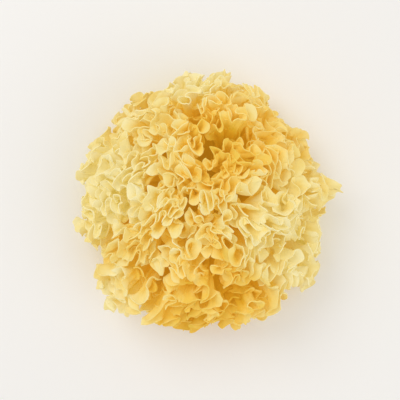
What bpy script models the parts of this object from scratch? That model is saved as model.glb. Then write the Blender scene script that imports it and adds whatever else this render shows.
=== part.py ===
"""A snow fungus, laid on its cut foot: thin ruffled fronds that radiate from one hard heart.

Metres, +Z up. The origin is the middle of the flat cut under the foot.
"""

import math

import bmesh
import bpy
import numpy as np

# The foot: a ball of hard flesh, cut off flat where it grew on its log
FOOT_RADIUS = 0.024
HEART_HEIGHT = 0.012
FOOT_SEGMENTS = 24
FOOT_RINGS = 10
CUT_EDGE_BEVEL = 0.0012

# The head: how far its outer form lies from the heart, round the rim from +X and at the crown
RIM_REACH_EVERY_30_DEG = (0.084, 0.075, 0.077, 0.082, 0.074, 0.080, 0.082, 0.084, 0.094, 0.086, 0.091, 0.082)
CROWN_REACH = 0.065
DOME_FULLNESS = 2.3

# The fronds
FROND_COUNT = 38
FROND_SCATTER = 0.06
SKIRT_POLAR = math.radians(105)
FROND_THICKNESS = 0.0013
ROOT_GAP = 0.0003
SIDE_CLEARANCE = 0.0011
FLOOR_CLEARANCE = 0.0014
SHORTEST_FROND = 0.91
LONGEST_FROND = 1.03

# A frond's room, in radians from its axis, and how far its width may turn away from level
NARROWEST_ROOM = 0.02
WIDEST_ROOM = 0.36
ROOM_STEPS = 25
SKIRT_TURN = 0.3
CROWN_TURN = 1.6

# How a frond folds between its straight root and its free edge
FOLD_CORNERS = 6
FEWEST_COLUMNS = 13
MOST_COLUMNS = 17
FOLD_FILL = 1.04
FOLD_GROWTH = 1.6
FOLD_LOOP = 0.13
UNEVEN_FOLDS = 0.2
CORNER_FILL = 5
ROW_STATIONS = (0.0, 0.28, 0.62, 1.0)
THICKNESS_SHARES = (0.5, 0.8, 1.0, 0.9)

# The lobes of the free edge, as shares of the frond's length
BROAD_LOBES = 1.7
BROAD_LOBE_HEIGHT = 0.03
TEETH = 5.3
TOOTH_HEIGHT = 0.02

# The broad lumps of the whole head: waves across it, and their height as a share of a frond's length
LUMP_WAVES = ((12.0, 5.0, 2.0), (-6.0, 11.0, 3.0), (7.0, -9.0, 8.0))
LUMP_HEIGHT = 0.024

# How the fronds lean as they grow: radians at the rim, waves over the head and where the waves start
SWIRL, SWIRL_WAVES, SWIRL_START = 0.16, 2.2, 0.4
SWAY, SWAY_WAVES, SWAY_START = 0.07, 3, 0.8

# The parts of the head, by the upward share of a frond's direction
CROWN_ABOVE = 0.72
SHOULDER_ABOVE = 0.25

GOLDEN_ANGLE = math.pi * (3 - math.sqrt(5))
SEED = 11


def clear_scene():
    for thing in list(bpy.data.objects):
        bpy.data.objects.remove(thing, do_unlink=True)


def matt_material(name, colour, roughness):
    made = bpy.data.materials.new(name)
    made.use_nodes = True
    shader = made.node_tree.nodes["Principled BSDF"]
    shader.inputs["Base Color"].default_value = (*colour, 1.0)
    shader.inputs["Roughness"].default_value = roughness
    shader.inputs["Metallic"].default_value = 0.0
    return made


def add_object(name, shape, finish):
    """Turn a finished bmesh into a named object with one material."""
    mesh = bpy.data.meshes.new(name)
    shape.to_mesh(mesh)
    shape.free()
    mesh.materials.append(finish)
    made = bpy.data.objects.new(name, mesh)
    bpy.context.scene.collection.objects.link(made)
    return made


def direction(polar, azimuth):
    """Unit vectors for angles from straight up and round from +X."""
    level = np.sin(polar)
    return np.stack([level * np.cos(azimuth), level * np.sin(azimuth), np.cos(polar)], axis=-1)


def frond_axes(chance):
    """The way each frond grows: spread by the golden angle from the crown down to the skirt, then scattered."""
    share = (np.arange(FROND_COUNT) + 0.5) / FROND_COUNT
    polar = np.arccos(1 - share * (1 - math.cos(SKIRT_POLAR)))
    polar = polar + chance.uniform(-FROND_SCATTER, FROND_SCATTER, FROND_COUNT)
    azimuth = np.arange(FROND_COUNT) * GOLDEN_ANGLE + chance.uniform(-FROND_SCATTER, FROND_SCATTER, FROND_COUNT)
    return direction(polar, azimuth)


def frames_across(axes, chance):
    """Two unit vectors square to each axis: along the frond's width, and through its folds.

    Low fronds stand level and wide. Towards the crown they face any way.
    """
    level = np.stack([-axes[:, 1], axes[:, 0], np.zeros(len(axes))], axis=1)
    level /= np.linalg.norm(level, axis=1, keepdims=True)
    steep = np.cross(axes, level)
    freedom = SKIRT_TURN + (CROWN_TURN - SKIRT_TURN) * np.clip(axes[:, 2:3], 0, 1)
    turn = freedom * chance.uniform(-1, 1, (len(axes), 1))
    return level * np.cos(turn) + steep * np.sin(turn), steep * np.cos(turn) - level * np.sin(turn)


def room_along(ray, index, axes):
    """The angle from a frond's axis to the end of its room: half way to the next frond, or the skirt."""
    others = np.delete(axes, index, axis=0)
    apart = 1 - others @ axes[index]
    facing = np.maximum(ray @ others.T, 1e-6)
    to_neighbour = np.arctan2(apart, facing).min(axis=-1)
    angles = np.linspace(NARROWEST_ROOM, WIDEST_ROOM, ROOM_STEPS)
    height = axes[index, 2] * np.cos(angles) + ray[..., 2:3] * np.sin(angles)
    to_skirt = np.where(height < math.cos(SKIRT_POLAR), angles, WIDEST_ROOM).min(axis=-1)
    return np.minimum(to_neighbour, to_skirt)


def rim_reach(azimuth):
    """The reach along the rim, eased between the stated radii."""
    place = np.mod(azimuth / (math.pi / 6), 12)
    first = np.floor(place).astype(int) % 12
    ease = (1 - np.cos(np.pi * (place - np.floor(place)))) / 2
    radii = np.array(RIM_REACH_EVERY_30_DEG)
    return radii[first] * (1 - ease) + radii[(first + 1) % 12] * ease


def lowest_polar(distance):
    """The steepest downward angle that stays clear of the surface under the fungus."""
    return np.arccos(-(HEART_HEIGHT - FLOOR_CLEARANCE) / distance)


def dome_reach(polar, azimuth):
    """The distance from the heart to the head's outer form."""
    steep = polar * lowest_polar(rim_reach(azimuth)) / SKIRT_POLAR
    along = np.sin(steep) / rim_reach(azimuth)
    upward = np.abs(np.cos(steep)) / CROWN_REACH
    return (along**DOME_FULLNESS + upward**DOME_FULLNESS) ** (-1 / DOME_FULLNESS)


def lean(polar, azimuth, grown):
    """Turn and bend a direction as the head grows, so that no frond runs quite straight."""
    sway = np.sin(SWAY_WAVES * azimuth + SWAY_START) * np.sin(np.pi * polar / SKIRT_POLAR)
    polar = polar + SWAY * grown * sway
    return polar, azimuth + SWIRL * grown * np.sin(SWIRL_WAVES * polar + SWIRL_START)


def placed(way, out, stretch):
    """Points of the head for directions in its ball and shares of the way out from the foot."""
    stretch = stretch + LUMP_HEIGHT * np.sin(way @ np.array(LUMP_WAVES).T).sum(axis=-1)
    polar = np.arccos(np.clip(way[..., 2], -1, 1))
    azimuth = np.arctan2(way[..., 1], way[..., 0])
    root = FOOT_RADIUS + ROOT_GAP
    distance = root + (dome_reach(*lean(polar, azimuth, 1.0)) * stretch - root) * out
    grown = (distance - root) / (max(RIM_REACH_EVERY_30_DEG) - root)
    polar, azimuth = lean(polar, azimuth, grown)
    steep = polar * lowest_polar(distance) / SKIRT_POLAR
    return np.array([0.0, 0.0, HEART_HEIGHT]) + distance[..., None] * direction(steep, azimuth)


def frond_sheet(index, axes, wide, through, chance):
    """The middle surface of one frond: a grid that is straight at the foot and folds more as it grows."""
    sheet = bmesh.new()
    columns = int(chance.integers(FEWEST_COLUMNS, MOST_COLUMNS + 1))
    rows = len(ROW_STATIONS)
    bmesh.ops.create_grid(sheet, x_segments=columns - 1, y_segments=rows - 1, size=0.5)
    column, row = np.array([vert.co[:2] for vert in sheet.verts]).T + 0.5
    out = np.interp(row, np.linspace(0, 1, rows), ROW_STATIONS)

    # each fold has two corners at its crest, two in its trough and one half way down each side
    turns = (columns - 1) / FOLD_CORNERS
    first_corner = int(chance.integers(FOLD_CORNERS)) / FOLD_CORNERS
    slant, lobe_start, tooth_start = chance.uniform(0, math.tau, 3)
    phase = math.tau * (turns * column + first_corner)
    across = column + UNEVEN_FOLDS / math.tau / turns * np.sin(math.tau * turns * column / 2 + slant)
    x = np.clip(2 * across - 1 - FOLD_LOOP / turns * np.sin(2 * phase), -1, 1)
    y = FOLD_FILL * out**FOLD_GROWTH * np.sin(phase)

    ray = x[:, None] * wide[index] + y[:, None] * through[index]
    ray /= np.maximum(np.hypot(x, y), 1e-9)[:, None]
    size = np.minimum((np.abs(x) ** CORNER_FILL + np.abs(y) ** CORNER_FILL) ** (1 / CORNER_FILL), 1)
    grown_radius = FOOT_RADIUS + (CROWN_REACH - FOOT_RADIUS) * out
    angle = size * (room_along(ray, index, axes) - SIDE_CLEARANCE / grown_radius)
    way = axes[index] * np.cos(angle)[:, None] + ray * np.sin(angle)[:, None]

    broad = BROAD_LOBE_HEIGHT * np.sin(math.tau * BROAD_LOBES * column + lobe_start)
    teeth = TOOTH_HEIGHT * np.sin(math.tau * TEETH * column + tooth_start)
    stretch = chance.uniform(SHORTEST_FROND, LONGEST_FROND) + broad + teeth
    for vert, place in zip(sheet.verts, placed(way, out, stretch)):
        vert.co = place
    return sheet


def part_of_head(height):
    if height > CROWN_ABOVE:
        return "crown"
    return "shoulder" if height > SHOULDER_ABOVE else "skirt"


def build_fronds(flesh):
    chance = np.random.default_rng(SEED)
    axes = frond_axes(chance)
    wide, through = frames_across(axes, chance)
    for index, axis in enumerate(axes):
        sheet = frond_sheet(index, axes, wide, through, chance)
        frond = add_object(f"{part_of_head(axis[2])}_frond_{index + 1:02d}", sheet, flesh)
        thickness = frond.vertex_groups.new(name="thickness")
        columns = len(frond.data.vertices) // len(THICKNESS_SHARES)
        for row, share in enumerate(THICKNESS_SHARES):
            thickness.add(range(row * columns, (row + 1) * columns), share, "REPLACE")
        wall = frond.modifiers.new("flesh", "SOLIDIFY")
        wall.thickness = FROND_THICKNESS
        wall.offset = 0.0
        wall.vertex_group = thickness.name


def build_foot(hard_flesh):
    ball = bmesh.new()
    bmesh.ops.create_uvsphere(ball, u_segments=FOOT_SEGMENTS, v_segments=FOOT_RINGS, radius=FOOT_RADIUS)
    bmesh.ops.translate(ball, verts=ball.verts, vec=(0, 0, HEART_HEIGHT))
    whole = ball.verts[:] + ball.edges[:] + ball.faces[:]
    cut = bmesh.ops.bisect_plane(ball, geom=whole, plane_co=(0, 0, 0), plane_no=(0, 0, -1), clear_outer=True)
    rim = [piece for piece in cut["geom_cut"] if isinstance(piece, bmesh.types.BMEdge)]
    bmesh.ops.contextual_create(ball, geom=rim)
    bmesh.ops.bevel(ball, geom=rim, offset=CUT_EDGE_BEVEL, segments=1, profile=0.5, affect="EDGES", material=-1)
    bmesh.ops.recalc_face_normals(ball, faces=ball.faces)
    add_object("foot", ball, hard_flesh)


def main():
    clear_scene()
    build_foot(matt_material("hard_flesh", (0.55, 0.33, 0.10), 0.7))
    build_fronds(matt_material("frond_flesh", (0.86, 0.66, 0.25), 0.5))


main()
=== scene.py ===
import math

import bmesh
import bpy
import numpy as np
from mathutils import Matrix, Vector, noise


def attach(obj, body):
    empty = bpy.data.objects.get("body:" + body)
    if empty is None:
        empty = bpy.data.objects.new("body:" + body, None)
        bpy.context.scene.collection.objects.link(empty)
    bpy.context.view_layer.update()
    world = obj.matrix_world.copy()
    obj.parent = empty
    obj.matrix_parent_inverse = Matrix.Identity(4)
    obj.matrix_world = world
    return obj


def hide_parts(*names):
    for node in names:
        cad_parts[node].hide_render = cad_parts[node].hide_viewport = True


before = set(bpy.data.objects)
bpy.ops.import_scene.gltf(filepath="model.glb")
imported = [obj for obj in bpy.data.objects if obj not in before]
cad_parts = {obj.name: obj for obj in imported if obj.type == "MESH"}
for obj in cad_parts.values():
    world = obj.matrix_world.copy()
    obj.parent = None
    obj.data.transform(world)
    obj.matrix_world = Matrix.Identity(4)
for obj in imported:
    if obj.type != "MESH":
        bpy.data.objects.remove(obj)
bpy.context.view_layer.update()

# The studio: a pale table, a broad soft light high on the left and a weaker one on the right.
# The camera looks straight down on the head, as the photograph does, from about half a metre.

PALE_TABLE = (0.97, 0.965, 0.955)
TABLE_ROUGHNESS = 0.7
TABLE_HALF_SIDE = 1.6
LIT_PLACE = (0, 0, 0.03)
KEY_PLACE = (-0.55, 0.50, 0.95)
KEY_WIDTH = 0.8
KEY_WATTS = 3.2
FILL_PLACE = (0.75, -0.45, 0.75)
FILL_WIDTH = 1.0
FILL_WATTS = 1.8
ROOM_COLOUR = (1.0, 0.98, 0.95)
ROOM_BRIGHTNESS = 0.70
SENSOR_MM = 36.0
CAMERA_HEIGHT = 0.60
VIEW_CENTRE = (-0.0039, -0.0033)
# this width fills the picture at the height of the head's rim
SEEN_WIDTH = 0.260
RIM_HEIGHT = 0.025


def plain_material(name, colour, roughness):
    finish = bpy.data.materials.new(name)
    finish.use_nodes = True
    shader = finish.node_tree.nodes["Principled BSDF"]
    shader.inputs["Base Color"].default_value = (*colour, 1.0)
    shader.inputs["Roughness"].default_value = roughness
    return finish


def object_from(name, shape, finish):
    """Turn a bmesh into an object of one material."""
    mesh = bpy.data.meshes.new(name)
    shape.to_mesh(mesh)
    shape.free()
    mesh.materials.append(finish)
    made = bpy.data.objects.new(name, mesh)
    bpy.context.scene.collection.objects.link(made)
    return made


def soft_light(name, place, width, watts):
    """A round soft light that is turned to the head."""
    lamp = bpy.data.lights.new(name, "AREA")
    lamp.shape = "DISK"
    lamp.size = width
    lamp.energy = watts
    made = bpy.data.objects.new(name, lamp)
    made.location = place
    made.rotation_euler = (Vector(LIT_PLACE) - Vector(place)).to_track_quat("-Z", "Y").to_euler()
    bpy.context.scene.collection.objects.link(made)


table_top = bmesh.new()
bmesh.ops.create_grid(table_top, x_segments=1, y_segments=1, size=TABLE_HALF_SIDE)
table = object_from("table", table_top, plain_material("pale_table", PALE_TABLE, TABLE_ROUGHNESS))

soft_light("key_light", KEY_PLACE, KEY_WIDTH, KEY_WATTS)
soft_light("fill_light", FILL_PLACE, FILL_WIDTH, FILL_WATTS)

world = bpy.data.worlds.new("studio")
world.use_nodes = True
room_light = world.node_tree.nodes["Background"]
room_light.inputs["Color"].default_value = (*ROOM_COLOUR, 1.0)
room_light.inputs["Strength"].default_value = ROOM_BRIGHTNESS
bpy.context.scene.world = world

lens = bpy.data.cameras.new("camera")
lens.sensor_width = SENSOR_MM
lens.lens = SENSOR_MM * (CAMERA_HEIGHT - RIM_HEIGHT) / SEEN_WIDTH
camera = bpy.data.objects.new("camera", lens)
camera.location = (*VIEW_CENTRE, CAMERA_HEIGHT)
bpy.context.scene.collection.objects.link(camera)
bpy.context.scene.camera = camera
bpy.context.scene.view_settings.view_transform = "Standard"

# The foot: a knob of hard flesh that all the fronds grow out of, cut off flat with a knife.
# It is a ball pushed into soft lumps, then cut level with the table.

FOOT_RADIUS = 0.024
HEART_HEIGHT = 0.012
BALL_DIVISIONS = 5
KNOB_LUMP_SIZE = 0.016
KNOB_LUMP_HEIGHT = 0.0012
FINER_LUMPS = 2.7
FINER_LUMP_SHARE = 0.4
FOOT_CREASE = math.radians(50)

HARD_FLESH = (0.42, 0.20, 0.05)
HARD_FLESH_ROUGHNESS = 0.6
CUT_COLOURS = ((0.3, (0.33, 0.14, 0.03)), (0.5, (0.55, 0.28, 0.07)), (0.75, (0.78, 0.52, 0.20)))
GOLD_STARTS = 0.003
GOLD_FULL = 0.016
ROOT_GOLD = (0.52, 0.29, 0.015)
# painted glow: an emission that stands in for light through the flesh and lifts its shade
ROOT_PAINTED_GLOW = (0.62, 0.345, 0.015)
FOOT_PAINTED_GLOW_STRENGTH = 0.27
MOTTLE = {"Scale": 160, "Detail": 5, "Strength": 0.5, "Distance": 0.0004}
FOOT_SUBSURFACE = 0.3
FOOT_SUBSURFACE_DEPTH = 0.002


def fine_relief_group():
    """A noise that is put out both as a value and as a fine bump: the mottle and the grain use it."""
    group = bpy.data.node_groups.new("fine_relief", "ShaderNodeTree")
    group.interface.new_socket("Vector", in_out="INPUT", socket_type="NodeSocketVector")
    for name in ("Scale", "Detail", "Strength", "Distance"):
        group.interface.new_socket(name, in_out="INPUT", socket_type="NodeSocketFloat")
    group.interface.new_socket("Fac", in_out="OUTPUT", socket_type="NodeSocketFloat")
    group.interface.new_socket("Normal", in_out="OUTPUT", socket_type="NodeSocketVector")
    given = group.nodes.new("NodeGroupInput")
    relief = group.nodes.new("ShaderNodeTexNoise")
    bump = group.nodes.new("ShaderNodeBump")
    result = group.nodes.new("NodeGroupOutput")
    for name in ("Vector", "Scale", "Detail"):
        group.links.new(given.outputs[name], relief.inputs[name])
    for name in ("Strength", "Distance"):
        group.links.new(given.outputs[name], bump.inputs[name])
    group.links.new(relief.outputs["Fac"], bump.inputs["Height"])
    group.links.new(relief.outputs["Fac"], result.inputs["Fac"])
    group.links.new(bump.outputs["Normal"], result.inputs["Normal"])
    return group


fine_relief = fine_relief_group()


def relief_on(finish, place, values):
    """Give a material the fine relief with its own values, and return the noise."""
    nodes, links = finish.node_tree.nodes, finish.node_tree.links
    relief = nodes.new("ShaderNodeGroup")
    relief.node_tree = fine_relief
    for name, value in values.items():
        relief.inputs[name].default_value = value
    links.new(place, relief.inputs["Vector"])
    links.new(relief.outputs["Normal"], nodes["Principled BSDF"].inputs["Normal"])
    return relief.outputs["Fac"]


def ramp(finish, factor, stops):
    """Colours eased from stop to stop along a factor."""
    made = finish.node_tree.nodes.new("ShaderNodeValToRGB")
    made.color_ramp.interpolation = "EASE"
    for element, (place, colour) in zip(made.color_ramp.elements, (stops[0], stops[-1])):
        element.position = place
        element.color = (*colour, 1.0)
    for place, colour in stops[1:-1]:
        made.color_ramp.elements.new(place).color = (*colour, 1.0)
    finish.node_tree.links.new(factor, made.inputs["Fac"])
    return made.outputs["Color"]


def hard_flesh_material():
    """Amber-brown flesh at the cut, which turns golden towards the fronds, with a painted glow above
    the cut.
    """
    finish = plain_material("hard_flesh", HARD_FLESH, HARD_FLESH_ROUGHNESS)
    nodes, links = finish.node_tree.nodes, finish.node_tree.links
    shader = nodes["Principled BSDF"]
    place = nodes.new("ShaderNodeTexCoord").outputs["Object"]
    mottle = relief_on(finish, place, MOTTLE)

    height = nodes.new("ShaderNodeSeparateXYZ")
    above_cut = nodes.new("ShaderNodeMapRange")
    above_cut.inputs["From Min"].default_value = GOLD_STARTS
    above_cut.inputs["From Max"].default_value = GOLD_FULL
    links.new(place, height.inputs["Vector"])
    links.new(height.outputs["Z"], above_cut.inputs["Value"])

    flesh = nodes.new("ShaderNodeMix")
    flesh.data_type = "RGBA"
    flesh.inputs["B"].default_value = (*ROOT_GOLD, 1.0)
    links.new(above_cut.outputs["Result"], flesh.inputs["Factor"])
    links.new(ramp(finish, mottle, CUT_COLOURS), flesh.inputs["A"])
    links.new(flesh.outputs["Result"], shader.inputs["Base Color"])

    # painted glow above the cut, standing in for light through the flesh
    painted_glow = ramp(finish, above_cut.outputs["Result"], ((0.0, (0.0, 0.0, 0.0)), (1.0, ROOT_PAINTED_GLOW)))
    links.new(painted_glow, shader.inputs["Emission Color"])
    shader.inputs["Emission Strength"].default_value = FOOT_PAINTED_GLOW_STRENGTH
    shader.inputs["Subsurface Weight"].default_value = FOOT_SUBSURFACE
    shader.inputs["Subsurface Scale"].default_value = FOOT_SUBSURFACE_DEPTH
    return finish


def foot_shape():
    """A lumpy ball round the heart, which is the place that all fronds spread from, cut off level."""
    knob = bmesh.new()
    bmesh.ops.create_icosphere(knob, subdivisions=BALL_DIVISIONS, radius=FOOT_RADIUS)
    for vert in knob.verts:
        finer_lump = noise.noise(vert.co * FINER_LUMPS / KNOB_LUMP_SIZE)
        lump = noise.noise(vert.co / KNOB_LUMP_SIZE) + FINER_LUMP_SHARE * finer_lump
        vert.co *= 1 + (lump - 1) * KNOB_LUMP_HEIGHT / FOOT_RADIUS
        vert.co.z += HEART_HEIGHT
    cut = bmesh.ops.bisect_plane(
        knob,
        geom=knob.verts[:] + knob.edges[:] + knob.faces[:],
        plane_co=(0, 0, 0),
        plane_no=(0, 0, -1),
        clear_outer=True,
    )
    rim = [piece for piece in cut["geom_cut"] if isinstance(piece, bmesh.types.BMEdge)]
    bmesh.ops.contextual_create(knob, geom=rim)
    bmesh.ops.recalc_face_normals(knob, faces=knob.faces)
    return knob


foot = object_from("cut_foot", foot_shape(), hard_flesh_material())
foot.data.shade_smooth()
foot.data.set_sharp_from_angle(angle=FOOT_CREASE)
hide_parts("foot")
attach(foot, "root")

# The fronds: thin sheets of translucent flesh that leave the foot straight, fold as they grow, and
# ruffle and roll over towards a free edge of pale lobes and teeth. Each has a main sheet on the folds
# of its plain frond, and shorter sheets that fork from the sides of those folds, all given a wall.

# the head's outer form; a fullness, fill or rounding is a power here, and the higher, the squarer
HEART = np.array([0.0, 0.0, HEART_HEIGHT])
RIM_REACH_EVERY_30_DEG = (
    0.084, 0.075, 0.077, 0.082, 0.074, 0.080,
    0.082, 0.084, 0.094, 0.086, 0.091, 0.082,
)
CROWN_REACH = 0.065
DOME_FULLNESS = 2.3
SKIRT_POLAR = math.radians(105)
SKIRT_EASE = 0.12
FLOOR_CLEARANCE = 0.0014
ROOT_GAP = 0.0003
LUMP_WAVES = ((12.0, 5.0, 2.0), (-6.0, 11.0, 3.0), (7.0, -9.0, 8.0))
LUMP_HEIGHT = 0.024
SWAY = 0.07
SWAY_WAVES = 3
SWAY_START = 0.8
SWIRL = 0.16
SWIRL_WAVES = 2.2
SWIRL_START = 0.4

# the fronds' places in the head, and the room that each may fill
FROND_COUNT = 38
FROND_SCATTER = 0.06
GOLDEN_ANGLE = math.pi * (3 - math.sqrt(5))
LEAST_FREEDOM = 0.3
CROWN_FREEDOM = 1.3
SHORTEST_FROND = 0.91
LONGEST_FROND = 1.03
SKIRT_MARGIN = 0.10
WIDEST_ROOM = 0.36
ROOM_ROUNDING = 12.0
SIDE_CLEARANCE = 0.0011
# the upward part of a frond's axis is over the first in the crown, and not over the second in the skirt
CROWN_ABOVE = 0.72
SKIRT_BELOW = 0.25


def direction(polar, azimuth):
    """Unit vectors for angles from straight up and round from +X."""
    level = np.sin(polar)
    return np.stack([level * np.cos(azimuth), level * np.sin(azimuth), np.cos(polar)], axis=-1)


def frond_axes(chance):
    """The way each frond grows: spread by the golden angle from crown to skirt, then scattered."""
    share = (np.arange(FROND_COUNT) + 0.5) / FROND_COUNT
    polar = np.arccos(1 - share * (1 - math.cos(SKIRT_POLAR)))
    polar = polar + chance.uniform(-FROND_SCATTER, FROND_SCATTER, FROND_COUNT)
    azimuth = np.arange(FROND_COUNT) * GOLDEN_ANGLE
    azimuth = azimuth + chance.uniform(-FROND_SCATTER, FROND_SCATTER, FROND_COUNT)
    return direction(polar, azimuth)


def frames_across(axes, chance):
    """Two unit vectors square to each axis: along the frond's width, and through its folds."""
    level = np.stack([-axes[:, 1], axes[:, 0], np.zeros(len(axes))], axis=1)
    level /= np.linalg.norm(level, axis=1, keepdims=True)
    steep = np.cross(axes, level)
    freedom = LEAST_FREEDOM + CROWN_FREEDOM * np.clip(axes[:, 2:3], 0, 1)
    turn = freedom * chance.uniform(-1, 1, (len(axes), 1))
    return level * np.cos(turn) + steep * np.sin(turn), steep * np.cos(turn) - level * np.sin(turn)


def room_along(ray, index, axes):
    """The angle from a frond's axis to the rounded end of its room.

    The room ends half way to the next frond, or at the skirt's lower side.
    """
    polar, azimuth = math.acos(axes[index, 2]), math.atan2(axes[index, 1], axes[index, 0])
    below = direction(2 * (SKIRT_POLAR + SKIRT_MARGIN) - polar, azimuth)
    others = np.vstack([np.delete(axes, index, axis=0), below])
    half_way = np.arctan2(1 - others @ axes[index], np.maximum(ray @ others.T, 1e-6))
    ends = (half_way**-ROOM_ROUNDING).sum(axis=-1) + WIDEST_ROOM**-ROOM_ROUNDING
    return ends ** (-1 / ROOM_ROUNDING)


def rim_reach(azimuth):
    """The reach along the rim, eased between the stated radii."""
    radii = np.array(RIM_REACH_EVERY_30_DEG)
    place = np.mod(azimuth / (math.tau / len(radii)), len(radii))
    first = np.floor(place).astype(int) % len(radii)
    ease = (1 - np.cos(np.pi * (place - np.floor(place)))) / 2
    return radii[first] * (1 - ease) + radii[(first + 1) % len(radii)] * ease


def lowest_polar(distance):
    """The steepest downward angle that stays clear of the table."""
    return np.arccos(-(HEART_HEIGHT - FLOOR_CLEARANCE) / distance)


def dome_reach(polar, azimuth):
    """The distance from the heart to the head's outer form."""
    steep = polar * lowest_polar(rim_reach(azimuth)) / SKIRT_POLAR
    along = np.sin(steep) / rim_reach(azimuth)
    upward = np.abs(np.cos(steep)) / CROWN_REACH
    return (along**DOME_FULLNESS + upward**DOME_FULLNESS) ** (-1 / DOME_FULLNESS)


def lean(polar, azimuth, grown):
    """Turn and bend a direction as the head grows, so that no frond runs quite straight."""
    sway = np.sin(SWAY_WAVES * azimuth + SWAY_START) * np.sin(np.pi * polar / SKIRT_POLAR)
    polar = polar + SWAY * grown * sway
    return polar, azimuth + SWIRL * grown * np.sin(SWIRL_WAVES * polar + SWIRL_START)


def above_table(polar):
    """Ease angles that would pass the skirt back above it, in order, so that low sheets stay apart."""
    past = np.maximum(polar - (SKIRT_POLAR - SKIRT_EASE), 0)
    return polar - past + SKIRT_EASE * (1 - np.exp(-past / SKIRT_EASE))


def placed(way, out, stretch):
    """Points of the head for directions in its ball and shares of the way out from the foot."""
    stretch = stretch + LUMP_HEIGHT * np.sin(way @ np.array(LUMP_WAVES).T).sum(axis=-1)
    polar = np.arccos(np.clip(way[..., 2], -1, 1))
    azimuth = np.arctan2(way[..., 1], way[..., 0])
    root = FOOT_RADIUS + ROOT_GAP
    distance = root + (dome_reach(*lean(polar, azimuth, 1.0)) * stretch - root) * out
    grown = (distance - root) / (max(RIM_REACH_EVERY_30_DEG) - root)
    polar, azimuth = lean(polar, azimuth, grown)
    steep = above_table(polar) * lowest_polar(distance) / SKIRT_POLAR
    return HEART + distance[..., None] * direction(steep, azimuth)


# the main folds, which the plain fronds have too: their columns, and how many of them make a fold
FEWEST_COLUMNS = 13
MOST_COLUMNS = 17
FOLD_CORNERS = 6
FOLD_GROWTH = 1.6
FOLD_LOOP = 0.13
FOLD_FILL = 0.92
UNEVEN_FOLDS = 0.2
CORNER_FILL = 5
COLUMN_TRIES = 500

# short, lively ruffles, and the long, calm ones on one side of the head
RUFFLE_LENGTH = 0.0115
CALM_RUFFLE_LENGTH = 0.0230
ROLL_REACH = 0.0080
CALM_ROLL_REACH = 0.0120
CALM_SIDE = (0.82, -0.30, 0.48)
CALM_SPREAD = math.radians(38)
CALM_FADE = 1.6
UNDER_SKIRT_ROOM = 0.03


class Frond:
    """One frond's place in the head and its main folds, as its plain solid has them."""

    def __init__(self, index, axes, wide, through, plan):
        self.index, self.axes, self.axis = index, axes, axes[index]
        self.wide, self.through = wide[index], through[index]
        self.turns = (int(plan.integers(FEWEST_COLUMNS, MOST_COLUMNS + 1)) - 1) / FOLD_CORNERS
        self.first_corner = int(plan.integers(FOLD_CORNERS)) / FOLD_CORNERS
        # the third draw starts the plain solid's coarse teeth, which finer ones replace here
        self.slant, self.lobe_start, _ = plan.uniform(0, math.tau, 3)
        self.stretch = plan.uniform(SHORTEST_FROND, LONGEST_FROND)
        polar, azimuth = math.acos(self.axis[2]), math.atan2(self.axis[1], self.axis[0])
        self.reach = float(dome_reach(polar, azimuth)) * self.stretch
        from_calm = math.acos(float(self.axis @ np.array(CALM_SIDE)) / math.hypot(*CALM_SIDE))
        self.calm = float(np.clip(CALM_FADE - CALM_FADE * from_calm / CALM_SPREAD, 0, 1))
        self.ruffle_length = RUFFLE_LENGTH + (CALM_RUFFLE_LENGTH - RUFFLE_LENGTH) * self.calm
        self.roll_reach = ROLL_REACH + (CALM_ROLL_REACH - ROLL_REACH) * self.calm
        columns = np.linspace(0, 1, COLUMN_TRIES)
        within = columns[np.abs(self.along_width(columns)) < 1]
        self.first_column, self.last_column = within[0], within[-1]

    def radius(self, out):
        """How far a share of the way out lies from the heart."""
        return FOOT_RADIUS + (self.reach - FOOT_RADIUS) * out

    def phase(self, column):
        """The angle of the folds' wave at a share of the sheet's columns."""
        return math.tau * (self.turns * column + self.first_corner)

    def along_width(self, column):
        """Where a column lies along the frond's width, from -1 to 1."""
        uneven = np.sin(math.tau * self.turns * column / 2 + self.slant)
        across = column + UNEVEN_FOLDS / math.tau / self.turns * uneven
        return 2 * across - 1 - FOLD_LOOP / self.turns * np.sin(2 * self.phase(column))

    def folded(self, column, out):
        """Metres from the frond's axis, along its width and through its folds."""
        x = np.clip(self.along_width(column), -1, 1)
        y = FOLD_FILL * out**FOLD_GROWTH * np.sin(self.phase(column))
        flat = np.maximum(np.hypot(x, y), 1e-9)
        ray = (x[..., None] * self.wide + y[..., None] * self.through) / flat[..., None]
        size = (np.abs(x) ** CORNER_FILL + np.abs(y) ** CORNER_FILL) ** (1 / CORNER_FILL)
        size = size / (1 + size**ROOM_ROUNDING) ** (1 / ROOM_ROUNDING)
        angle = size * (room_along(ray, self.index, self.axes) - SIDE_CLEARANCE / self.radius(out))
        return np.stack([x, y], axis=-1) / flat[..., None] * (angle * self.radius(out))[..., None]

    def ways(self, fold, out):
        """Unit vectors from the heart for metres from the frond's axis."""
        size = np.maximum(np.linalg.norm(fold, axis=-1), 1e-9)
        angle = size / self.radius(out)
        ray = (fold[..., :1] * self.wide + fold[..., 1:] * self.through) / size[..., None]
        return self.axis * np.cos(angle)[..., None] + ray * np.sin(angle)[..., None]

    def lifted(self, fold, out, stretch):
        """Points of the head for metres from the frond's axis."""
        return placed(self.ways(fold, out), out, stretch)

    def under_skirt(self, fold, out):
        """Whether the middle of a sheet would pass under the skirt."""
        middle_height = float(self.ways(fold, out)[..., 2].mean())
        return middle_height < math.cos(SKIRT_POLAR - UNDER_SKIRT_ROOM)


# a slow wave is a sum of waves: the share of its length, and the height, of each
SLOW_WAVE_PARTS = ((1.0, 0.55), (0.62, 0.35), (0.37, 0.3))

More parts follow.
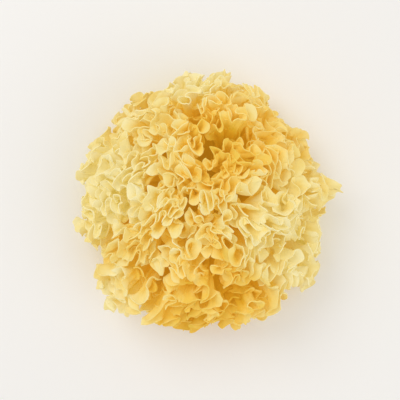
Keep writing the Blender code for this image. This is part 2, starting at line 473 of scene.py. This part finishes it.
# ruffles, crumples and the rolled free edge
BEND_COLUMNS = 5
RUFFLE_DEPTH = 0.0017
RUFFLE_UNEVENNESS = 1.4
RUFFLE_DRIFT = 0.040
RUFFLE_LOOP = 0.3
BROAD_RUFFLE_LENGTH = 0.022
BROAD_RUFFLE_SHARE = 0.5
CRUMPLE_LENGTH = 0.0058
CRUMPLE_DEPTH = 0.0005
CRUMPLE_ALONG = 0.4
ROLL_TURN = 1.5
ROLL_FIRMNESS = 1.1

# the lobes and teeth of the free edge: a variety is the least of a height, its change and its drift
EDGE_UNEVENNESS = 1.5
SCALLOP_LENGTH = 0.0095
SCALLOP_HEIGHT = 0.0042
SCALLOP_BLUNTNESS = 0.35
SCALLOP_NOTCH = 0.01
SCALLOP_LEVEL = 0.6
SCALLOP_DRIFT = 0.025
SCALLOP_VARIETY = (0.8, 0.6, 0.04)
TOOTH_LENGTH = 0.0070
TOOTH_HEIGHT = 0.0028
TOOTH_SHARPNESS = 1.6
TOOTH_LEVEL = 0.2
TOOTH_DRIFT = 0.013
TOOTH_VARIETY = (0.7, 0.6, 0.02)

# where on the way out each of these starts, and over what share it grows; a power holds it back
EDGE_SPAN = 0.8
EDGE_ZONE = (0.2, EDGE_SPAN)
RUFFLES_GROW = (0.0, 0.7)
RUFFLES_LATE = 1.4
CRUMPLES_GROW = (0.35, 0.6)
LOBES_GROW = (0.45, 0.55)
LOBES_LATE = 1.5


def grown_in(share, stretch):
    """How far something has grown, from 0 to 1, over a stretch of the way out."""
    start, span = stretch
    return np.clip((share - start) / span, 0, 1)


def slow_wave(length, wave, chance):
    """A smooth uneven wave of about one unit's height, with no exact repeat."""
    starts = chance.uniform(0, math.tau, len(SLOW_WAVE_PARTS))
    return sum(
        height * np.sin(math.tau * length / wave / share + start)
        for (share, height), start in zip(SLOW_WAVE_PARTS, starts)
    )


def sides_of(fold):
    """Vectors along a folded line and square to it, and how sharply it bends towards the latter.

    They are one unit long, and shorter where the line turns back on itself.
    """
    line = np.pad(fold, ((0, 0), (BEND_COLUMNS, BEND_COLUMNS), (0, 0)), mode="edge")
    steps = np.linalg.norm(np.diff(line, axis=1), axis=2)
    length = np.cumsum(np.pad(steps, ((0, 0), (1, 0))), axis=1)
    first, last = slice(None, -2 * BEND_COLUMNS), slice(2 * BEND_COLUMNS, None)
    between = np.maximum(length[:, last] - length[:, first], 1e-9)
    tangent = (line[:, last] - line[:, first]) / between[..., None]
    normal = np.stack([-tangent[..., 1], tangent[..., 0]], axis=-1)
    step = np.maximum(np.linalg.norm(np.gradient(fold, axis=1), axis=-1), 1e-5)
    return tangent, normal, (np.gradient(tangent, axis=1) * normal).sum(axis=-1) / step


def pushed(fold, normal, bend, sideways):
    """Move a folded line sideways, less where it would cross itself inside a bend."""
    return fold + normal * (sideways / (1 + np.maximum(sideways * bend, 0)))[..., None]


def ruffled(frond, fold, length, near_edge, chance):
    """Push a folded sheet sideways into ruffles, and roll its free edge over along them.

    Returns the pushed fold, and how much lower each point ends for being rolled over, in metres.
    """
    tangent, normal, bend = sides_of(fold)
    drift = RUFFLE_UNEVENNESS * slow_wave(length, RUFFLE_DRIFT, chance)
    phase = math.tau * length / frond.ruffle_length + drift
    ruffle = np.sin(phase) + BROAD_RUFFLE_SHARE * slow_wave(length, BROAD_RUFFLE_LENGTH, chance)
    late = grown_in(near_edge, RUFFLES_GROW) ** RUFFLES_LATE
    crumple = CRUMPLE_DEPTH * slow_wave(length, CRUMPLE_LENGTH, chance)
    crumple = crumple * grown_in(near_edge, CRUMPLES_GROW)

    # the rolled strip is an arc that keeps the strip's length
    to_edge = (1 - near_edge) * (frond.reach - FOOT_RADIUS) * EDGE_SPAN
    rolled = np.maximum(frond.roll_reach - to_edge, 0)
    turned = ROLL_TURN * np.tanh(ROLL_FIRMNESS * ruffle) * rolled / frond.roll_reach
    over = rolled * turned / 2 * np.sinc(turned / math.tau) ** 2
    lower = rolled * (1 - np.sinc(turned / math.pi))

    sideways = RUFFLE_DEPTH * ruffle * late + crumple + over
    loop = -RUFFLE_LOOP * frond.ruffle_length / math.tau * np.sin(2 * phase)
    creep = CRUMPLE_ALONG * CRUMPLE_DEPTH * slow_wave(length, CRUMPLE_LENGTH, chance)
    along = (loop + creep) * late
    return pushed(fold, normal, bend, sideways) + tangent * along[..., None], lower


def varied(length, variety, chance):
    """A height that changes slowly along the free edge."""
    least, change, drift = variety
    return least + change * slow_wave(length, drift, chance)


def edge_rise(length, near_edge, chance):
    """How far the lobes and teeth of the free edge stand out, in metres."""
    drift = EDGE_UNEVENNESS * slow_wave(length, SCALLOP_DRIFT, chance)
    lobes = np.sin(math.pi * length / SCALLOP_LENGTH + drift) ** 2
    lobes = (lobes + SCALLOP_NOTCH) ** SCALLOP_BLUNTNESS - SCALLOP_LEVEL
    rise = SCALLOP_HEIGHT * lobes * varied(length, SCALLOP_VARIETY, chance)
    drift = EDGE_UNEVENNESS * slow_wave(length, TOOTH_DRIFT, chance)
    teeth = 1 - np.abs(np.sin(math.pi * length / TOOTH_LENGTH + drift))
    teeth = teeth**TOOTH_SHARPNESS - TOOTH_LEVEL
    rise = rise + TOOTH_HEIGHT * teeth * varied(length, TOOTH_VARIETY, chance)
    return rise * grown_in(near_edge, LOBES_GROW) ** LOBES_LATE


def evenly_spaced(points, out, columns):
    """Lay a sheet's columns again, at even steps of its longest rows."""
    steps = np.linalg.norm(np.diff(points, axis=1), axis=2).max(axis=0)
    along = np.concatenate([[0], np.cumsum(steps)])
    place = np.interp(np.linspace(0, along[-1], columns), along, np.arange(len(along)))
    before = np.minimum(place.astype(int), len(along) - 2)
    share = place - before
    out = out[:, before] * (1 - share) + out[:, before + 1] * share
    share = share[:, None]
    return points[:, before] * (1 - share) + points[:, before + 1] * share, out


# the main sheets, which start a little inside the foot
SHEET_COLUMNS = 320
SHEET_ROWS = 12
EDGE_TRIES = 900
FINE_COLUMNS = 5 * SHEET_COLUMNS
ROOTED = 0.03
ROWS_CROWD = 1.6
BROAD_LOBES = 1.7
BROAD_LOBE_HEIGHT = 0.03
CORNER_ROUND = 0.012


def main_sheet(frond, chance):
    """The sheet that leaves the foot: points row by row, and how far out each has grown."""
    tries = np.linspace(frond.first_column, frond.last_column, EDGE_TRIES)
    edge = frond.folded(tries, np.ones_like(tries))
    along = np.concatenate([[0], np.cumsum(np.linalg.norm(np.diff(edge, axis=0), axis=1))])
    length = np.linspace(0, along[-1], FINE_COLUMNS)
    rows = 1 - (1 + ROOTED) * (1 - np.linspace(0, 1, SHEET_ROWS)) ** ROWS_CROWD
    column, out = np.meshgrid(np.interp(length, along, tries), rows)
    grown = np.maximum(out, 0)
    near_edge = grown_in(grown, EDGE_ZONE)
    fold, lower = ruffled(frond, frond.folded(column, grown), length, near_edge, chance)
    broad = BROAD_LOBE_HEIGHT * np.sin(math.tau * BROAD_LOBES * column + frond.lobe_start)
    to_side = np.minimum(length, length[-1] - length)
    rounded = CORNER_ROUND * np.clip(1 - to_side / CORNER_ROUND, 0, 1) ** 2 * near_edge
    rise = edge_rise(length, near_edge, chance) - lower - rounded
    points = frond.lifted(fold, out, frond.stretch + broad + rise / frond.reach)
    return evenly_spaced(points, grown, SHEET_COLUMNS)


# the forked sheets: each pair of values is the least and the most of a draw
FORK_COLUMNS = 38
FORK_ROWS = 8
FINE_FORK_COLUMNS = 6 * FORK_COLUMNS
FORK_ROWS_CROWD = 1.7
FORK_HALF_WIDTH = (0.28, 0.42)
FORK_START = (0.35, 0.55)
FORK_END = (0.70, 0.97)
FORK_APART = (0.0032, 0.0046)
FORK_LEAVES = 0.7
FORK_ROOT_WIDTH = 0.45
FORK_MIDDLE_APART = 0.75
FORK_ROUND = 0.45
FORK_ROOT_RUFFLES = 0.35
FORK_ROOT_LOBES = 0.2
PIT_SHARE = 0.18
CROWN_PIT_SHARE = 0.05
FORK_MARGIN = 0.06
CALM_ENOUGH = 0.4
# which sides of the sheet fork at the quarters of a fold's wave
FORK_SIDES = ((-1, 1), (1,), (-1, 1), (-1,))


def forked_sheet(frond, middle, side, chance):
    """A shorter sheet that leaves one side of a main fold half way out and stands between the folds.

    Returns None where a pit is left open instead, or where it would pass under the skirt.
    """
    half = 0.5 / frond.turns * chance.uniform(*FORK_HALF_WIDTH)
    middle = np.clip(middle, frond.first_column + half, frond.last_column - half)
    start = chance.uniform(*FORK_START)
    end = chance.uniform(*FORK_END)
    rows = 1 - np.linspace(1, 0, FORK_ROWS) ** FORK_ROWS_CROWD
    share, spread = np.meshgrid(rows, np.linspace(-1, 1, FINE_FORK_COLUMNS), indexing="ij")
    out = start + (end - start) * share * (1 - FORK_ROUND * spread**4)
    width = half * (FORK_ROOT_WIDTH + (1 - FORK_ROOT_WIDTH) * share)
    base = frond.folded(middle + width * spread, out)
    steps = np.linalg.norm(np.diff(base[-1], axis=0), axis=1)
    length = np.concatenate([[0], np.cumsum(steps)])

    outward = side * sides_of(base)[1][-1, base.shape[1] // 2]
    outward = outward / max(np.linalg.norm(outward), 1e-9)
    bulge = FORK_MIDDLE_APART + (1 - FORK_MIDDLE_APART) * np.cos(math.pi / 2 * spread)
    apart = chance.uniform(*FORK_APART) * share**FORK_LEAVES * bulge
    base = base + apart[..., None] * outward

    near_edge = FORK_ROOT_RUFFLES + (1 - FORK_ROOT_RUFFLES) * share
    fold, lower = ruffled(frond, base, length, near_edge, chance)
    near_edge = FORK_ROOT_LOBES + (1 - FORK_ROOT_LOBES) * share
    stretch = frond.stretch + (edge_rise(length, near_edge, chance) - lower) / frond.reach
    pit_share = CROWN_PIT_SHARE if frond.axis[2] > CROWN_ABOVE else PIT_SHARE
    if chance.random() < pit_share or frond.under_skirt(fold, out):
        return None
    return evenly_spaced(frond.lifted(fold, out, stretch), out, FORK_COLUMNS)


def fork_places(frond):
    """Where sheets fork from a frond's main sheet: at which column, and on which side of it.

    The sides of the folds lie where their wave crosses zero, the crests half way between.
    """
    for quarter in range(int(4 * frond.turns) + 4):
        middle = (quarter / 4 - frond.first_corner) / frond.turns
        if FORK_MARGIN < middle < 1 - FORK_MARGIN:
            sides = FORK_SIDES[quarter % 4]
            if frond.calm > CALM_ENOUGH:
                sides = sides[: quarter % 2]
            elif frond.axis[2] > CROWN_ABOVE:
                sides = sides[:1]
            for side in sides:
                yield middle, side


# the sheets' crinkles and walls
CRINKLE_SIZE = 0.0070
CRINKLE_DEPTH = 0.0020
CRINKLES_GROW = (0.3, 0.5)
INNER_WALL = 0.0014
EDGE_WALL = 0.0006
WALL_THINS_FROM = 0.5
FROND_CREASE = math.radians(45)


def crinkled(points, out):
    """Small sideways crinkles that fade towards the foot."""
    flat = points.reshape(-1, 3)
    shift = np.array([noise.noise_vector(Vector(point) / CRINKLE_SIZE) for point in flat])
    shift = (shift * CRINKLE_DEPTH).reshape(points.shape)
    return points + shift * grown_in(out, CRINKLES_GROW)[..., None]


def add_sheet(shape, growth, sheet):
    """Lay a new grid of a bmesh on a sheet's points."""
    points, out = sheet
    rows, columns = out.shape
    made = bmesh.ops.create_grid(shape, x_segments=columns - 1, y_segments=rows - 1, size=0.5)
    for vert, place, grown in zip(made["verts"], crinkled(points, out).reshape(-1, 3), out.ravel()):
        vert.co = place
        vert[growth] = grown


def give_wall(piece):
    """Give a frond's sheets their thickness, which thins towards the free edge."""
    out = np.empty(len(piece.data.vertices))
    piece.data.attributes["growth"].data.foreach_get("value", out)
    out = out.round(3)
    wall = piece.vertex_groups.new(name="wall")
    for row_out in np.unique(out):
        thinned = max(0.0, row_out - WALL_THINS_FROM) / (1 - WALL_THINS_FROM)
        share = 1 - (1 - EDGE_WALL / INNER_WALL) * thinned
        wall.add(np.flatnonzero(out == row_out).tolist(), share, "REPLACE")
    flesh = piece.modifiers.new("flesh", "SOLIDIFY")
    flesh.thickness = INNER_WALL
    flesh.offset = 0.0
    flesh.vertex_group = wall.name
    walled = bpy.data.meshes.new_from_object(piece.evaluated_get(bpy.context.evaluated_depsgraph_get()))
    piece.modifiers.clear()
    piece.data = walled
    walled.set_sharp_from_angle(angle=FROND_CREASE)


# the flesh's colours by paleness, which rises with the growth, in patches and areas, and by place; the
# dark amber deep near the foot is partly the flesh's own colour and partly painted shade between the
# folds, and the areas by place are partly painted light and shade
FROND_FLESH = (0.93, 0.72, 0.28)
FROND_ROUGHNESS = 0.5
FROND_SPECULAR = 0.25
# from deep to pale: the darker stops are partly painted shade deep between the folds
FLESH_AND_PAINTED_SHADE_COLOURS = (
    (0.0, (0.50, 0.27, 0.015)),
    (0.45, (0.68, 0.43, 0.03)),
    (0.68, (0.80, 0.575, 0.115)),
    (0.82, (0.83, 0.655, 0.215)),
    (1.0, (0.85, 0.73, 0.335)),
    (1.2, (0.87, 0.80, 0.48)),
)
# painted glow: emission that stands in for light through the flesh and fills the shade between the
# folds
PAINTED_GLOW_COLOURS = ((0.3, ROOT_PAINTED_GLOW), (0.8, (0.59, 0.375, 0.035)), (1.0, (0.49, 0.375, 0.095)))
FROND_PAINTED_GLOW_STRENGTH = 0.285
GRAIN = {"Scale": 900, "Detail": 3, "Strength": 0.35, "Distance": 0.0003}
# noise scale, noise detail and weight
PATCHES = (70, 3, 0.8)
AREAS = (26, 1, 0.7)
# seen from above, in metres: x, y and reach of an area, and how much paler its middle is; the areas are
# partly the flesh's own tone and partly painted light and shade, paler on the left, top and right and
# darker at the bottom and near the middle
BROAD_TONES_AND_PAINTED_LIGHT = (
    (0.016, 0.034, 0.046, -0.30),
    (0.002, -0.074, 0.056, -0.38),
    (-0.064, 0.006, 0.040, 0.65),
    (0.048, -0.022, 0.050, 0.33),
    (-0.010, 0.085, 0.040, 0.30),
)


def added(finish, total, cause, weight):
    """Add a weighted cause to a sum of values in a material."""
    nodes, links = finish.node_tree.nodes, finish.node_tree.links
    adding = nodes.new("ShaderNodeMath")
    adding.operation = "MULTIPLY_ADD"
    adding.inputs[1].default_value = weight
    links.new(cause, adding.inputs[0])
    links.new(total, adding.inputs[2])
    return adding.outputs[0]


def frond_flesh_material():
    """Waxy translucent flesh: amber near the foot, golden between the folds, cream at the free edge;
    the amber and gold deep between the folds are partly painted shade, and a painted glow lights the
    flesh.
    """
    finish = plain_material("frond_flesh", FROND_FLESH, FROND_ROUGHNESS)
    nodes, links = finish.node_tree.nodes, finish.node_tree.links
    shader = nodes["Principled BSDF"]
    place = nodes.new("ShaderNodeTexCoord").outputs["Object"]
    growth = nodes.new("ShaderNodeAttribute")
    growth.attribute_name = "growth"

    from_above = nodes.new("ShaderNodeMapping")
    from_above.inputs["Scale"].default_value = (1.0, 1.0, 0.0)
    links.new(place, from_above.inputs["Vector"])
    toned = growth.outputs["Fac"]
    # broad areas of painted light and shade, seen from above, partly the flesh's own tone
    for x, y, reach, paler in BROAD_TONES_AND_PAINTED_LIGHT:
        distance = nodes.new("ShaderNodeVectorMath")
        distance.operation = "DISTANCE"
        distance.inputs[1].default_value = (x, y, 0.0)
        nearness = nodes.new("ShaderNodeMapRange")
        nearness.interpolation_type = "SMOOTHSTEP"
        nearness.inputs["From Min"].default_value = reach
        nearness.inputs["From Max"].default_value = 0.0
        links.new(from_above.outputs["Vector"], distance.inputs[0])
        links.new(distance.outputs["Value"], nearness.inputs["Value"])
        toned = added(finish, toned, nearness.outputs["Result"], paler)

    paleness, level = toned, 0.0
    for scale, detail, weight in (PATCHES, AREAS):
        spots = nodes.new("ShaderNodeTexNoise")
        spots.inputs["Scale"].default_value = scale
        spots.inputs["Detail"].default_value = detail
        links.new(place, spots.inputs["Vector"])
        paleness = added(finish, paleness, spots.outputs["Fac"], weight)
        level = level + weight / 2
    palest = FLESH_AND_PAINTED_SHADE_COLOURS[-1][0]
    evened = nodes.new("ShaderNodeMapRange")
    evened.inputs["From Min"].default_value = level
    evened.inputs["From Max"].default_value = level + palest
    links.new(paleness, evened.inputs["Value"])
    stops = [(pale / palest, colour) for pale, colour in FLESH_AND_PAINTED_SHADE_COLOURS]
    links.new(ramp(finish, evened.outputs["Result"], stops), shader.inputs["Base Color"])

    # a painted glow by growth and by the broad areas, which lifts the shade between the folds
    links.new(ramp(finish, toned, PAINTED_GLOW_COLOURS), shader.inputs["Emission Color"])
    shader.inputs["Emission Strength"].default_value = FROND_PAINTED_GLOW_STRENGTH
    shader.inputs["Specular IOR Level"].default_value = FROND_SPECULAR
    relief_on(finish, place, GRAIN)
    return finish


def part_of_head(height):
    if height > CROWN_ABOVE:
        return "crown"
    return "shoulder" if height > SKIRT_BELOW else "skirt"


PLAN_SEED = 11
RUFFLE_SEED = 5
CRINKLE_SEED = 3

plan = np.random.default_rng(PLAN_SEED)
ruffle_chance = np.random.default_rng(RUFFLE_SEED)
noise.seed_set(CRINKLE_SEED)
axes = frond_axes(plan)
wide, through = frames_across(axes, plan)
frond_flesh = frond_flesh_material()

for index, axis in enumerate(axes):
    node = f"{part_of_head(axis[2])}_frond_{index + 1:02d}"
    frond = Frond(index, axes, wide, through, plan)
    shape = bmesh.new()
    growth = shape.verts.layers.float.new("growth")
    add_sheet(shape, growth, main_sheet(frond, ruffle_chance))
    for middle, side in fork_places(frond):
        forked = forked_sheet(frond, middle, side, ruffle_chance)
        if forked:
            add_sheet(shape, growth, forked)
    piece = object_from(f"ruffled_{node}", shape, frond_flesh)
    piece.data.shade_smooth()
    give_wall(piece)
    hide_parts(node)
    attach(piece, "root")
